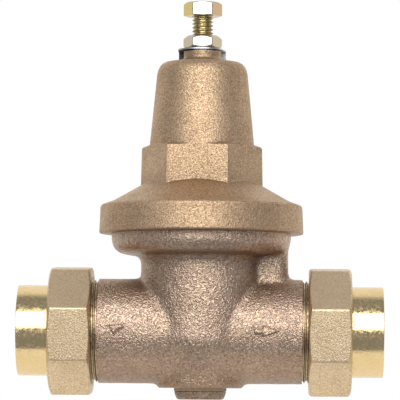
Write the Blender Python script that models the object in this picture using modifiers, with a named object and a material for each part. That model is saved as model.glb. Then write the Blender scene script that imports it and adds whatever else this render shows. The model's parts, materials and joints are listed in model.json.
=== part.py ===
"""Pressure reducing valve with a union and a solder cup at each end.

The pipe runs along X, inlet at -X and outlet at +X. The valve stands on its bottom plug at z = 0.
"""

import math

import bmesh
import bpy
from mathutils import Matrix, Vector

for leftover in list(bpy.data.objects):
    bpy.data.objects.remove(leftover, do_unlink=True)

MM = 0.001

# Gap between faces that seat on each other, and between a shank and its hole
FIT = 0.3 * MM
# How far a cutter runs past the face that it opens
OVERRUN = 1.0 * MM
ROUND = 40
FINE = 24

# Bottom plug and its gasket
PLUG_FOOT_R = 8.8 * MM
PLUG_HEAD_R = 9.7 * MM
PLUG_HEAD_H = 3.1 * MM
PLUG_SHANK_R = 8.3 * MM
PLUG_SHANK_H = 4.4 * MM
PLUG_SOCKET_R = 4.2 * MM
PLUG_SOCKET_DEPTH = 3.6 * MM
PLUG_GASKET_R = 11.2 * MM
PLUG_GASKET_T = 0.6 * MM

# Body
AXIS_ABOVE_BOSS = 21.1 * MM
RUN_R = 19.5 * MM
RUN_HALF = 37.9 * MM
RUN_BORE_R = 13.0 * MM
SPIGOT_R = 19.05 * MM
SPIGOT_L = 7.3 * MM
BOSS_R = 16.3 * MM
BOSS_FOOT_R = 15.6 * MM
BOSS_FOOT_H = 1.8 * MM
TAPER_OFF_AXIS = 1.9 * MM
TAPER_STEPS = 5
BARREL_R = 22.3 * MM
FLANGE_R = 33.5 * MM
FLANGE_T = 7.4 * MM
FLANGE_EDGE_R = 2.8 * MM
BODY_THREAD_R = 32.7 * MM
BODY_THREAD_H = 5.1 * MM
GUIDE_R = 8.0 * MM
INLET_CHAMBER_R = 14.5 * MM
INLET_CHAMBER_HALF_H = 9.7 * MM
BRIDGE_T = 5.0 * MM
NECK_BORE_R = 18.0 * MM
NECK_BORE_H = 17.4 * MM
RIM_W = 6.2 * MM
CHAMBER_H = 9.0 * MM
RISER_X = 24.4 * MM
RISER_R = 8.2 * MM
PASSAGE_R = 5.4 * MM
PASSAGE_LAP = 1.2 * MM
INLET_STEP = 1.5 * MM
OUTLET_WALL = 3.5 * MM

# Seat ring, its O-ring and the strainer round the disc
SEAT_R = 12.0 * MM
SEAT_BORE_R = 8.0 * MM
SEAT_LIP_H = 2.0 * MM
SEAT_LIP_T = 1.0 * MM
SEAT_STEP_H = 1.0 * MM
SEAT_FLANGE_OVER = 3.0 * MM
SEAT_FLANGE_T = 2.4 * MM
O_RING_GROOVE = 1.6 * MM
GROOVE_HALF_W = 1.04 * MM
STRAINER_T = 0.6 * MM
SLOT_HALF_W = 1.56 * MM
SLOT_END = 1.75 * MM

# Stem, its piston, cup, disc and nuts
STROKE = 3.0 * MM
STEM_R = 4.0 * MM
STEM_SHOULDER_R = 6.0 * MM
PISTON_H = 8.2 * MM
PISTON_OFF_PLUG = 0.8 * MM
SHANK_R = 5.5 * MM
DISC_R = 9.9 * MM
DISC_T = 3.2 * MM
CUP_WALL = 0.8 * MM
CUP_FLOOR_T = 2.3 * MM
CUP_LIP_H = 2.4 * MM
DISC_NUT_R = 6.3 * MM
DISC_NUT_H = 2.0 * MM
WASHER_R = 16.0 * MM
WASHER_T = 2.0 * MM
STEM_NUT_R = 7.4 * MM
STEM_NUT_H = 5.2 * MM
STEM_OVER_NUT = 1.0 * MM

# Diaphragm, friction ring and spring plate
DIAPHRAGM_T = 1.6 * MM
DIAPHRAGM_DROP = 2.0 * MM
CONVOLUTION_H = 2.6 * MM
FRICTION_RING_T = 0.8 * MM
PLATE_R = 16.5 * MM
PLATE_T = 2.5 * MM

# Bell housing
RING_R = 38.2 * MM
RING_H = 11.2 * MM
RING_EDGE_R = 1.4 * MM
CONE_FOOT_R = 33.0 * MM
CONE_FOOT_RISE = 1.1 * MM
CONE_H = 5.8 * MM
HEX_R = 22.8 * MM
HEX_DRAFT = 0.4 * MM
HEX_H = 14.6 * MM
TOWER_FOOT_R = 19.2 * MM
TOWER_TOP_R = 16.5 * MM
TOWER_H = 27.9 * MM
TOWER_CORNER_R = 4.2 * MM
BELL_WALL = 3.5 * MM
CAP_T = 7.2 * MM
CAP_BOSS_R = 7.0 * MM
CAP_BOSS_H = 4.0 * MM

# Adjusting screw (5/16-18), lock nut, folded tag and spring button
SCREW_R = 3.97 * MM
SCREW_PITCH = 1.4111 * MM
SCREW_THREAD_DEPTH = 0.78 * MM
SCREW_L = 31.8 * MM
SCREW_STEPS = 10
HEAD_R = 7.33 * MM
HEAD_H = 5.2 * MM
HEAD_STANDOFF = 7.4 * MM
LOCK_NUT_H = 4.7 * MM
HEX_CHAMFER = 0.75 * MM
CHAMFER_RUN = 2
TAG_T = 0.5 * MM
TAG_HALF_W = 8.6 * MM
TAG_FLAP_H = 3.4 * MM
BUTTON_H = 4.5 * MM
BUTTON_DIMPLE = 1.5 * MM
BUTTON_GAP = 0.75 * MM

# Adjusting spring
SPRING_R = 10.0 * MM
SPRING_WIRE_R = 1.75 * MM
SPRING_TURNS = 7
SPRING_STEPS = 12

# Union nuts, tailpieces and union gaskets
NUT_R = 25.0 * MM
NUT_L = 15.2 * MM
NUT_SIDES = 8
NUT_CLOCK = math.radians(17.9)
NUT_SHOULDER_T = 4.1 * MM
NUT_CHAMFER = 1.2 * MM
TAIL_R = 16.7 * MM
TAIL_L = 20.7 * MM
TAIL_WALL = 2.3 * MM
TAIL_STOP = 1.7 * MM
CUP_DEPTH = 18.0 * MM
COLLAR_T = 4.0 * MM
UNION_GASKET_T = 1.5 * MM

# Heights, from the foot of the plug to the head of the screw
Z_GASKET = PLUG_HEAD_H + FIT
Z_BOSS = Z_GASKET + PLUG_GASKET_T + FIT
Z_PLUG_TOP = Z_BOSS + PLUG_SHANK_H
Z_AXIS = Z_BOSS + AXIS_ABOVE_BOSS
Z_INLET_FLOOR = Z_AXIS - INLET_CHAMBER_HALF_H
Z_BRIDGE = Z_AXIS + INLET_CHAMBER_HALF_H
Z_BRIDGE_TOP = Z_BRIDGE + BRIDGE_T
Z_CHAMBER = Z_BRIDGE_TOP + NECK_BORE_H
Z_RIM = Z_CHAMBER + CHAMBER_H
Z_SHOULDER = Z_RIM - BODY_THREAD_H
Z_FLANGE = Z_SHOULDER - FLANGE_T
Z_CLAMP = Z_RIM + DIAPHRAGM_T + FRICTION_RING_T + 3 * FIT
Z_RING = Z_SHOULDER + FIT
Z_RING_TOP = Z_RING + RING_H
Z_CONE_FOOT = Z_RING_TOP + CONE_FOOT_RISE
Z_HEX = Z_CONE_FOOT + CONE_H
Z_HEX_TOP = Z_HEX + HEX_H
Z_TOWER_TOP = Z_HEX_TOP + TOWER_H
Z_CAP = Z_TOWER_TOP + TOWER_CORNER_R
Z_CEILING = Z_CAP - CAP_T
Z_CAP_BOSS = Z_CAP + CAP_BOSS_H
Z_TAG = Z_CAP_BOSS + FIT
Z_LOCK_NUT = Z_TAG + TAG_T + FIT
Z_LOCK_NUT_TOP = Z_LOCK_NUT + LOCK_NUT_H
Z_HEAD = Z_LOCK_NUT_TOP + HEAD_STANDOFF
Z_TIP = Z_HEAD - SCREW_L
Z_BUTTON_TOP = Z_TIP - FIT + BUTTON_DIMPLE
Z_BUTTON = Z_BUTTON_TOP - BUTTON_H

# Stem heights with the valve open, its disc one stroke under the seat lip
Z_LIP = Z_BRIDGE - SEAT_LIP_H
Z_SEAT_FLANGE = Z_BRIDGE_TOP + FIT
Z_SEAT_STEP = Z_BRIDGE + SEAT_STEP_H
Z_DISC_TOP = Z_LIP - STROKE - FIT
Z_DISC = Z_DISC_TOP - DISC_T
Z_CUP_FLOOR = Z_DISC - FIT
Z_CUP = Z_CUP_FLOOR - CUP_FLOOR_T
Z_PISTON = Z_PLUG_TOP + PISTON_OFF_PLUG
Z_DIAPHRAGM = Z_RIM + FIT
Z_CENTRE = Z_DIAPHRAGM - DIAPHRAGM_DROP
Z_WASHER = Z_CENTRE - FIT - WASHER_T
Z_PLATE = Z_CENTRE + DIAPHRAGM_T + FIT
Z_STEM_NUT = Z_PLATE + PLATE_T + FIT
Z_STEM_TOP = Z_STEM_NUT + STEM_NUT_H + STEM_OVER_NUT
Z_SPRING = Z_PLATE + PLATE_T + FIT
Z_SPRING_TOP = Z_BUTTON - FIT

# Radii that follow from a neighbour's
CHAMBER_R = BODY_THREAD_R - RIM_W
SCREW_HOLE_R = SCREW_R + FIT
STEM_HOLE_R = STEM_R + FIT
PLUG_HOLE_R = PLUG_SHANK_R + FIT
PISTON_R = GUIDE_R - FIT
SEAT_HOLE_R = SEAT_R + FIT
CUP_RECESS_R = DISC_R + FIT
CUP_R = CUP_RECESS_R + CUP_WALL
STRAINER_R = SEAT_HOLE_R - FIT
RING_BORE_R = BODY_THREAD_R + FIT
HEX_BORE_R = HEX_R * math.cos(math.pi / 6) - BELL_WALL
TOWER_BORE_R = TOWER_TOP_R - BELL_WALL
BUTTON_R = TOWER_BORE_R - BUTTON_GAP
PASSAGE_X = NECK_BORE_R + PASSAGE_R - PASSAGE_LAP

# Distances from the stem axis along the pipe
X_SPIGOT = RUN_HALF + SPIGOT_L
X_GASKET = X_SPIGOT + FIT
X_TAIL = X_GASKET + UNION_GASKET_T + FIT
X_COLLAR = X_TAIL + COLLAR_T
X_NUT_SHOULDER = X_COLLAR + FIT
X_NUT_END = X_NUT_SHOULDER + NUT_SHOULDER_T
X_NUT = X_NUT_END - NUT_L
X_TAIL_END = X_TAIL + TAIL_L
COLLAR_R = SPIGOT_R - FIT
NUT_HOLE_R = TAIL_R + FIT
CUP_BORE_R = TAIL_R - TAIL_WALL
WATERWAY_R = CUP_BORE_R - TAIL_STOP

valve = bpy.data.collections.new("pressure_reducing_valve")
cutters = bpy.data.collections.new("cutters")
bpy.context.scene.collection.children.link(valve)
bpy.context.scene.collection.children.link(cutters)


def material(name, colour, roughness, metallic):
    made = bpy.data.materials.new(name)
    made.use_nodes = True
    shader = made.node_tree.nodes["Principled BSDF"]
    shader.inputs["Base Color"].default_value = (*colour, 1.0)
    shader.inputs["Roughness"].default_value = roughness
    shader.inputs["Metallic"].default_value = metallic
    made.diffuse_color = (*colour, 1.0)
    return made


BODY_BRONZE = material("sand_cast_body_bronze", (0.30, 0.21, 0.15), 0.5, 0.8)
BELL_BRONZE = material("sand_cast_bell_bronze", (0.42, 0.29, 0.17), 0.45, 0.8)
NUT_BRONZE = material("cast_union_bronze", (0.52, 0.38, 0.23), 0.4, 0.8)
BRASS = material("turned_brass", (0.72, 0.53, 0.25), 0.18, 1.0)
ZINC = material("yellow_zinc_steel", (0.66, 0.55, 0.27), 0.25, 1.0)
TAG_METAL = material("rolled_aluminium", (0.62, 0.62, 0.63), 0.4, 1.0)
STEEL = material("spring_steel", (0.32, 0.32, 0.34), 0.35, 1.0)
STAINLESS = material("stainless_steel", (0.60, 0.59, 0.57), 0.28, 1.0)
RUBBER = material("black_nitrile_rubber", (0.02, 0.02, 0.02), 0.6, 0.0)
FIBRE = material("red_fibre_sheet", (0.28, 0.07, 0.04), 0.8, 0.0)


def add(name, data, home, surface=None):
    made = bpy.data.objects.new(name, data)
    home.objects.link(made)
    if surface:
        data.materials.append(surface)
    if home is cutters:
        made.hide_render = True
        made.display_type = "WIRE"
    return made


def turned(name, profile, home, surface=None, steps=ROUND, ring=False, outward=0):
    """A solid of revolution about Z, or along the pipe on its outward side.

    The profile holds (radius, height) and runs down its outer side; a ring's profile closes.
    A piece that cuts or joins is clocked by half a facet from the piece it meets.
    """
    clock = math.pi / steps if home is cutters else 0.0
    count = len(profile)
    edges = [(i, i + 1) for i in range(count - 1)]
    if ring:
        edges.append((count - 1, 0))
    points = []
    for radius, height in profile:
        across = (radius * math.cos(clock), radius * math.sin(clock))
        points.append((outward * height, *across[::-1]) if outward else (*across, height))
    mesh = bpy.data.meshes.new(name)
    mesh.from_pydata(points, edges, [])
    made = add(name, mesh, home, surface)
    screw = made.modifiers.new("turn", "SCREW")
    screw.axis = "X" if outward else "Z"
    screw.steps = screw.render_steps = steps
    screw.use_normal_flip = outward < 0
    screw.use_merge_vertices = True
    screw.merge_threshold = 1e-6
    screw.use_smooth_shade = True
    if outward:
        made.location.z = Z_AXIS
    return made


def ring(name, outer, inner, low, high, home, surface=None, steps=ROUND, outward=0):
    profile = [(outer, high), (outer, low), (inner, low), (inner, high)]
    return turned(name, profile, home, surface, steps, ring=True, outward=outward)


def rod(name, radius, low, high, steps=FINE, outward=0):
    """A plain cylinder, used to cut or join."""
    profile = [(0.0, high), (radius, high), (radius, low), (0.0, low)]
    return turned(name, profile, cutters, None, steps, outward=outward)


def prism(name, sides, low_r, high_r, low, high, home, surface=None, outward=0):
    """A prism about Z with corners on X, or along the pipe with a corner at the clock angle above the front."""
    if outward:
        turn = Matrix(((0, 0, outward, 0), (0, 1, 0, 0), (1, 0, 0, 0), (0, 0, 0, 1)))
        turn = turn @ Matrix.Rotation(NUT_CLOCK - math.pi / 2, 4, "Z")
    else:
        turn = Matrix.Rotation(math.pi / 2, 4, "Z")
    form = bmesh.new()
    bmesh.ops.create_cone(
        form, cap_ends=True, segments=sides, radius1=low_r, radius2=high_r, depth=high - low,
        matrix=turn @ Matrix.Translation((0.0, 0.0, (low + high) / 2)),
    )
    bmesh.ops.recalc_face_normals(form, faces=form.faces)
    mesh = bpy.data.meshes.new(name)
    form.to_mesh(mesh)
    form.free()
    made = add(name, mesh, home, surface)
    if outward:
        made.location.z = Z_AXIS
    return made


def box(name, low, high, home=cutters):
    form = bmesh.new()
    bmesh.ops.create_cube(form, size=1.0)
    centre = (Vector(low) + Vector(high)) / 2
    size = Vector(high) - Vector(low)
    for vert in form.verts:
        vert.co = centre + Vector(a * b for a, b in zip(vert.co, size))
    mesh = bpy.data.meshes.new(name)
    form.to_mesh(mesh)
    form.free()
    return add(name, mesh, home)


def combine(made, other, operation):
    boolean = made.modifiers.new(other.name, "BOOLEAN")
    boolean.operation = operation
    boolean.solver = "EXACT"
    boolean.object = other
    return made


def arc(centre_r, centre_z, radius, start, stop, count):
    """Profile points on an arc, with angles in degrees from +R towards +Z."""
    points = []
    for i in range(count + 1):
        angle = math.radians(start + (stop - start) * i / count)
        points.append((centre_r + radius * math.cos(angle), centre_z + radius * math.sin(angle)))
    return points


def hexagon(name, radius, low, high, surface, both_ends, sides=6, chamfer=HEX_CHAMFER, outward=0):
    """A nut or bolt-head prism with turned chamfers on its corners."""
    made = prism(name, sides, radius, radius, low, high, valve, surface, outward)
    wide = radius + FIT
    drop = chamfer + FIT
    flat = wide - CHAMFER_RUN * drop
    foot = [(wide, low + drop), (flat, low)] if both_ends else [(wide, low)]
    profile = [(0.0, high), (flat, high), (wide, high - drop)] + foot + [(0.0, low)]
    return combine(made, turned(name + "_chamfer", profile, cutters, None, FINE, outward=outward), "INTERSECT")


# Bottom plug: a tapered round head with a hexagon socket, and a shank in the boss
plug_profile = [
    (0.0, Z_PLUG_TOP), (PLUG_SHANK_R, Z_PLUG_TOP), (PLUG_SHANK_R, PLUG_HEAD_H), (PLUG_HEAD_R, PLUG_HEAD_H),
    (PLUG_FOOT_R, 0.0), (0.0, 0.0),
]
bottom_plug = turned("bottom_plug", plug_profile, valve, BODY_BRONZE, FINE)
socket = prism("plug_socket", 6, PLUG_SOCKET_R, PLUG_SOCKET_R, -OVERRUN, PLUG_SOCKET_DEPTH, cutters)
combine(bottom_plug, socket, "DIFFERENCE")
ring("plug_gasket", PLUG_GASKET_R, PLUG_HOLE_R, Z_GASKET, Z_GASKET + PLUG_GASKET_T, valve, FIBRE, FINE)

# Body: barrel with flange and boss, run tube with threaded spigots, and the outlet riser
body_profile = [
    (0.0, Z_RIM), (BODY_THREAD_R, Z_RIM), (BODY_THREAD_R, Z_SHOULDER), (FLANGE_R, Z_SHOULDER),
    *arc(FLANGE_R - FLANGE_EDGE_R, Z_FLANGE + FLANGE_EDGE_R, FLANGE_EDGE_R, 0.0, -90.0, 3),
    *arc(BARREL_R + FLANGE_EDGE_R, Z_FLANGE - FLANGE_EDGE_R, FLANGE_EDGE_R, 90.0, 180.0, 3),
]
taper_top = Z_AXIS - TAPER_OFF_AXIS
taper_h = taper_top - Z_BOSS - BOSS_FOOT_H
for part in range(TAPER_STEPS + 1):
    share = part / TAPER_STEPS
    narrowing = (1 - math.cos(math.pi * share)) / 2
    body_profile.append((BARREL_R - (BARREL_R - BOSS_R) * narrowing, taper_top - taper_h * share))
body_profile += [(BOSS_FOOT_R, Z_BOSS), (0.0, Z_BOSS)]
barrel = turned("barrel", body_profile, cutters)
run_profile = [
    (0.0, X_SPIGOT), (SPIGOT_R, X_SPIGOT), (SPIGOT_R, RUN_HALF), (RUN_R, RUN_HALF),
    (RUN_R, -RUN_HALF), (SPIGOT_R, -RUN_HALF), (SPIGOT_R, -X_SPIGOT), (0.0, -X_SPIGOT),
]
body = combine(turned("body", run_profile, valve, BODY_BRONZE, outward=1), barrel, "UNION")
riser = prism("riser", FINE, RISER_R, RISER_R, Z_AXIS, Z_FLANGE + FLANGE_EDGE_R, cutters)
riser.location.x = RISER_X
combine(body, riser, "UNION")
cavity_profile = [
    (0.0, Z_RIM + OVERRUN), (CHAMBER_R, Z_RIM + OVERRUN), (CHAMBER_R, Z_CHAMBER),
    (NECK_BORE_R, Z_CHAMBER), (NECK_BORE_R, Z_BRIDGE_TOP), (SEAT_HOLE_R, Z_BRIDGE_TOP),
    (SEAT_HOLE_R, Z_BRIDGE), (INLET_CHAMBER_R, Z_BRIDGE), (INLET_CHAMBER_R, Z_INLET_FLOOR),
    (GUIDE_R, Z_INLET_FLOOR), (GUIDE_R, Z_PLUG_TOP + FIT), (PLUG_HOLE_R, Z_PLUG_TOP + FIT),
    (PLUG_HOLE_R, Z_BOSS - OVERRUN), (0.0, Z_BOSS - OVERRUN),
]
combine(body, turned("body_cavity", cavity_profile, cutters), "DIFFERENCE")
inlet_wall = BARREL_R - INLET_STEP
inlet_profile = [
    (0.0, X_SPIGOT + OVERRUN), (RUN_BORE_R, X_SPIGOT + OVERRUN), (RUN_BORE_R, inlet_wall),
    (INLET_CHAMBER_HALF_H - FIT, inlet_wall), (INLET_CHAMBER_HALF_H - FIT, INLET_CHAMBER_R / 2),
    (0.0, INLET_CHAMBER_R / 2),
]
combine(body, turned("inlet_bore", inlet_profile, cutters, outward=-1), "DIFFERENCE")
outlet_bore = rod("outlet_bore", RUN_BORE_R, INLET_CHAMBER_R + OUTLET_WALL, X_SPIGOT + OVERRUN, ROUND, 1)
combine(body, outlet_bore, "DIFFERENCE")
passage_low = Z_AXIS + RUN_BORE_R / 2
passage = prism("riser_passage", FINE, PASSAGE_R, PASSAGE_R, passage_low, Z_CHAMBER + OVERRUN, cutters)
passage.location.x = PASSAGE_X
combine(body, passage, "DIFFERENCE")

# Seat ring in the bridge, with an O-ring round its barrel
groove_z = (Z_SEAT_STEP + Z_SEAT_FLANGE) / 2
groove_r = SEAT_R - O_RING_GROOVE
lip_r = SEAT_BORE_R + SEAT_LIP_T
seat_profile = [
    (SEAT_R + SEAT_FLANGE_OVER, Z_SEAT_FLANGE + SEAT_FLANGE_T), (SEAT_R + SEAT_FLANGE_OVER, Z_SEAT_FLANGE),
    (SEAT_R, Z_SEAT_FLANGE), (SEAT_R, groove_z + GROOVE_HALF_W),
    (groove_r, groove_z + GROOVE_HALF_W), (groove_r, groove_z - GROOVE_HALF_W),
    (SEAT_R, groove_z - GROOVE_HALF_W), (SEAT_R, Z_SEAT_STEP), (lip_r, Z_SEAT_STEP), (lip_r, Z_LIP),
    (SEAT_BORE_R, Z_LIP), (SEAT_BORE_R, Z_SEAT_FLANGE + SEAT_FLANGE_T),
]
turned("seat_ring", seat_profile, valve, STAINLESS, FINE, ring=True)


def o_ring(name, groove, bore, height):
    """An O-ring between a groove's floor and the bore round it."""
    minor = (bore - groove) / 2 - FIT / 3
    centre = (bore + groove) / 2
    return turned(name, arc(centre, height, minor, 90.0, -225.0, 7), valve, RUBBER, FINE, ring=True)


o_ring("seat_o_ring", groove_r, SEAT_HOLE_R, groove_z)

# Strainer: a slotted tube between the inlet floor and the seat ring
strainer = ring(
    "strainer_screen", STRAINER_R, STRAINER_R - STRAINER_T, Z_INLET_FLOOR + FIT, Z_SEAT_STEP - FIT,
    valve, STAINLESS, FINE,
)
for part in range(4):
    slot = box(
        f"strainer_slot_{part}", (-2 * STRAINER_R, -SLOT_HALF_W, Z_INLET_FLOOR + SLOT_END),
        (2 * STRAINER_R, SLOT_HALF_W, Z_BRIDGE - SLOT_END),
    )
    slot.rotation_euler.z = math.pi * (part + 0.5) / 4
    combine(strainer, slot, "DIFFERENCE")

# Stem: piston, disc cup and rod in one bar, threaded at the top
piston_groove_z = Z_PISTON + O_RING_GROOVE
piston_groove_r = PISTON_R - O_RING_GROOVE
stem_profile = [
    (0.0, Z_STEM_TOP), (STEM_R, Z_STEM_TOP), (STEM_R, Z_WASHER - FIT), (STEM_SHOULDER_R, Z_WASHER - FIT),
    (STEM_SHOULDER_R, Z_WASHER - FIT - WASHER_T), (STEM_R, Z_WASHER - FIT - WASHER_T),
    (STEM_R, Z_CUP_FLOOR), (CUP_RECESS_R, Z_CUP_FLOOR), (CUP_RECESS_R, Z_CUP_FLOOR + CUP_LIP_H),
    (CUP_R, Z_CUP_FLOOR + CUP_LIP_H), (CUP_R, Z_CUP), (SHANK_R, Z_CUP), (SHANK_R, Z_PISTON + PISTON_H),
    (PISTON_R, Z_PISTON + PISTON_H), (PISTON_R, piston_groove_z + GROOVE_HALF_W),
    (piston_groove_r, piston_groove_z + GROOVE_HALF_W),
    (piston_groove_r, piston_groove_z - GROOVE_HALF_W),
    (PISTON_R, piston_groove_z - GROOVE_HALF_W), (PISTON_R, Z_PISTON), (0.0, Z_PISTON),
]
turned("stem", stem_profile, valve, BRASS, FINE)
o_ring("piston_o_ring", piston_groove_r, GUIDE_R, piston_groove_z)
ring("seat_disc", DISC_R, STEM_HOLE_R, Z_DISC, Z_DISC_TOP, valve, RUBBER, FINE)
disc_nut = hexagon("disc_nut", DISC_NUT_R, Z_DISC_TOP + FIT, Z_DISC_TOP + FIT + DISC_NUT_H, BRASS, False,
                   chamfer=HEX_CHAMFER / 2)
combine(disc_nut, rod("disc_nut_hole", STEM_HOLE_R, Z_DISC, Z_LIP), "DIFFERENCE")

# Diaphragm with one raised convolution, between the washer and the spring plate
ring("diaphragm_washer", WASHER_R, STEM_HOLE_R, Z_WASHER, Z_WASHER + WASHER_T, valve, BRASS, FINE)
rise_start = max(PLATE_R, WASHER_R) + 4 * FIT
rise_stop = CHAMBER_R - 2 * FIT
lower_side = [(STEM_HOLE_R, Z_CENTRE), (rise_start, Z_CENTRE)]
for part in range(1, 6):
    share = part / 6
    lower_side.append((
        rise_start + (rise_stop - rise_start) * share,
        Z_CENTRE + DIAPHRAGM_DROP * share + CONVOLUTION_H * math.sin(math.pi * share),
    ))
diaphragm_r = BODY_THREAD_R - FIT
lower_side += [(rise_stop, Z_DIAPHRAGM), (diaphragm_r, Z_DIAPHRAGM)]
upper_side = [(r, z + DIAPHRAGM_T) for r, z in lower_side]
turned("diaphragm", upper_side + lower_side[::-1], valve, RUBBER, FINE, ring=True)
friction_low = Z_DIAPHRAGM + DIAPHRAGM_T + FIT
friction_high = friction_low + FRICTION_RING_T
ring("friction_ring", diaphragm_r, CHAMBER_R + FIT, friction_low, friction_high, valve, BRASS, FINE)
ring("spring_plate", PLATE_R, STEM_HOLE_R, Z_PLATE, Z_PLATE + PLATE_T, valve, STEEL, FINE)
stem_nut = hexagon("stem_nut", STEM_NUT_R, Z_STEM_NUT, Z_STEM_NUT + STEM_NUT_H, STEEL, False)
combine(stem_nut, rod("stem_nut_hole", STEM_HOLE_R, Z_PLATE, Z_STEM_TOP + FIT), "DIFFERENCE")

# Bell housing: screw ring, cone, wrench hexagon, tower and top boss over one cavity
cone_slope = CONE_H / (CONE_FOOT_R - HEX_R)
bell_profile = [
    (0.0, Z_CAP_BOSS), (CAP_BOSS_R, Z_CAP_BOSS), (CAP_BOSS_R, Z_CAP),
    *arc(TOWER_TOP_R - TOWER_CORNER_R, Z_TOWER_TOP, TOWER_CORNER_R, 90.0, 0.0, 4),
    (TOWER_FOOT_R, Z_HEX_TOP), (TOWER_FOOT_R, Z_HEX + (HEX_R - TOWER_FOOT_R) * cone_slope),
    (CONE_FOOT_R, Z_CONE_FOOT),
    *arc(RING_R - RING_EDGE_R, Z_RING_TOP - RING_EDGE_R, RING_EDGE_R, 90.0, 0.0, 2),
    (RING_R, Z_RING), (0.0, Z_RING),
]
bell_housing = turned("bell_housing", bell_profile, valve, BELL_BRONZE)
hex_low = Z_HEX - (CONE_FOOT_R - HEX_R) * cone_slope / 3
bell_hex = prism("bell_hexagon", 6, HEX_R, HEX_R - HEX_DRAFT, hex_low, Z_HEX_TOP, cutters)
combine(bell_housing, bell_hex, "UNION")
cone_drop = BELL_WALL * math.hypot(1.0, cone_slope)
inner_cone_z = Z_CONE_FOOT - cone_drop + (CONE_FOOT_R - CHAMBER_R) * cone_slope
bell_cavity_profile = [
    (0.0, Z_CEILING), (TOWER_BORE_R, Z_CEILING),
    (HEX_BORE_R, inner_cone_z + (CHAMBER_R - HEX_BORE_R) * cone_slope), (CHAMBER_R, inner_cone_z),
    (CHAMBER_R, Z_CLAMP), (RING_BORE_R, Z_CLAMP), (RING_BORE_R, Z_RING - OVERRUN), (0.0, Z_RING - OVERRUN),
]
combine(bell_housing, turned("bell_cavity", bell_cavity_profile, cutters), "DIFFERENCE")
screw_hole = rod("screw_hole", SCREW_HOLE_R, Z_CEILING - OVERRUN, Z_HEAD)
combine(bell_housing, screw_hole, "DIFFERENCE")

# Adjusting spring: one helix of round wire whose end turns close up
spring_curve = bpy.data.curves.new("adjusting_spring", "CURVE")
spring_curve.dimensions = "3D"
spring_curve.bevel_depth = SPRING_WIRE_R
spring_curve.bevel_resolution = 1
spring_curve.use_fill_caps = True
spring_line = spring_curve.splines.new("POLY")
spring_count = SPRING_TURNS * SPRING_STEPS
spring_line.points.add(spring_count)
spring_low = Z_SPRING + SPRING_WIRE_R
spring_rise = Z_SPRING_TOP - SPRING_WIRE_R - spring_low
end_pitch = 2 * SPRING_WIRE_R + 2 * FIT
free_pitch = (spring_rise - 2 * end_pitch) / (SPRING_TURNS - 2)
spring_points = []
for step in range(spring_count + 1):
    turns = step / SPRING_STEPS
    low_turns = min(turns, 1.0)
    high_turns = max(turns - (SPRING_TURNS - 1), 0.0)
    height = spring_low + end_pitch * (low_turns + high_turns)
    height += free_pitch * (turns - low_turns - high_turns)
    angle = 2 * math.pi * turns
    spring_points.append(Vector((SPRING_R * math.cos(angle), SPRING_R * math.sin(angle), height)))
for point, place in zip(spring_line.points, spring_points):
    point.co = (*place, 1.0)
add("adjusting_spring", spring_curve, valve, STEEL)
self_gap = min(
    (spring_points[i] - spring_points[j]).length - 2 * SPRING_WIRE_R
    for i in range(spring_count + 1)
    for j in range(i + SPRING_STEPS // 2, spring_count + 1)
)
print(f"adjusting_spring least gap to itself {self_gap / MM:.2f} mm")

# Spring button: a disc with a dimple for the screw's tip
button_profile = [
    (SCREW_HOLE_R + FIT, Z_BUTTON_TOP), (BUTTON_R, Z_BUTTON_TOP), (BUTTON_R, Z_BUTTON), (0.0, Z_BUTTON),
]
button_top = [(0.0, Z_BUTTON_TOP - BUTTON_DIMPLE), (SCREW_HOLE_R, Z_BUTTON_TOP - BUTTON_DIMPLE)]
turned("spring_button", button_top + button_profile, valve, STEEL, FINE)

# Adjusting screw: a helical thread under a hexagon head
adjusting_screw = hexagon("adjusting_screw", HEAD_R, Z_HEAD, Z_HEAD + HEAD_H, ZINC, False)
thread = bmesh.new()
thread_low = Z_TIP + FIT
thread_count = int((Z_HEAD + HEAD_H / 2 - thread_low) / SCREW_PITCH - 1.5) * SCREW_STEPS
roots = []
crests = []
for step in range(thread_count + 1):
    angle = 2 * math.pi * step / SCREW_STEPS
    across = Vector((math.cos(angle), math.sin(angle), 0.0))
    root_z = thread_low + SCREW_PITCH * step / SCREW_STEPS
    roots.append(thread.verts.new(across * (SCREW_R - SCREW_THREAD_DEPTH) + Vector((0.0, 0.0, root_z))))
    crest_z = root_z + SCREW_PITCH / 2
    crests.append(thread.verts.new(across * SCREW_R + Vector((0.0, 0.0, crest_z))))
for step in range(thread_count):
    thread.faces.new((roots[step], roots[step + 1], crests[step + 1], crests[step]))
for step in range(thread_count - SCREW_STEPS):
    above = step + SCREW_STEPS
    thread.faces.new((crests[step], crests[step + 1], roots[above + 1], roots[above]))
tip = thread.verts.new((0.0, 0.0, Z_TIP))
top = thread.verts.new((0.0, 0.0, crests[-1].co.z))
tip_loop = roots[: SCREW_STEPS + 1] + [crests[0]]
top_loop = crests[-SCREW_STEPS - 1:] + [roots[-1]]
for i, vert in enumerate(tip_loop):
    thread.faces.new((tip, tip_loop[(i + 1) % len(tip_loop)], vert))
for i, vert in enumerate(top_loop):
    thread.faces.new((top, vert, top_loop[(i + 1) % len(top_loop)]))
bmesh.ops.recalc_face_normals(thread, faces=thread.faces)
thread_mesh = bpy.data.meshes.new("screw_thread")
thread.to_mesh(thread_mesh)
thread.free()
combine(adjusting_screw, add("screw_thread", thread_mesh, cutters), "UNION")

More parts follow.
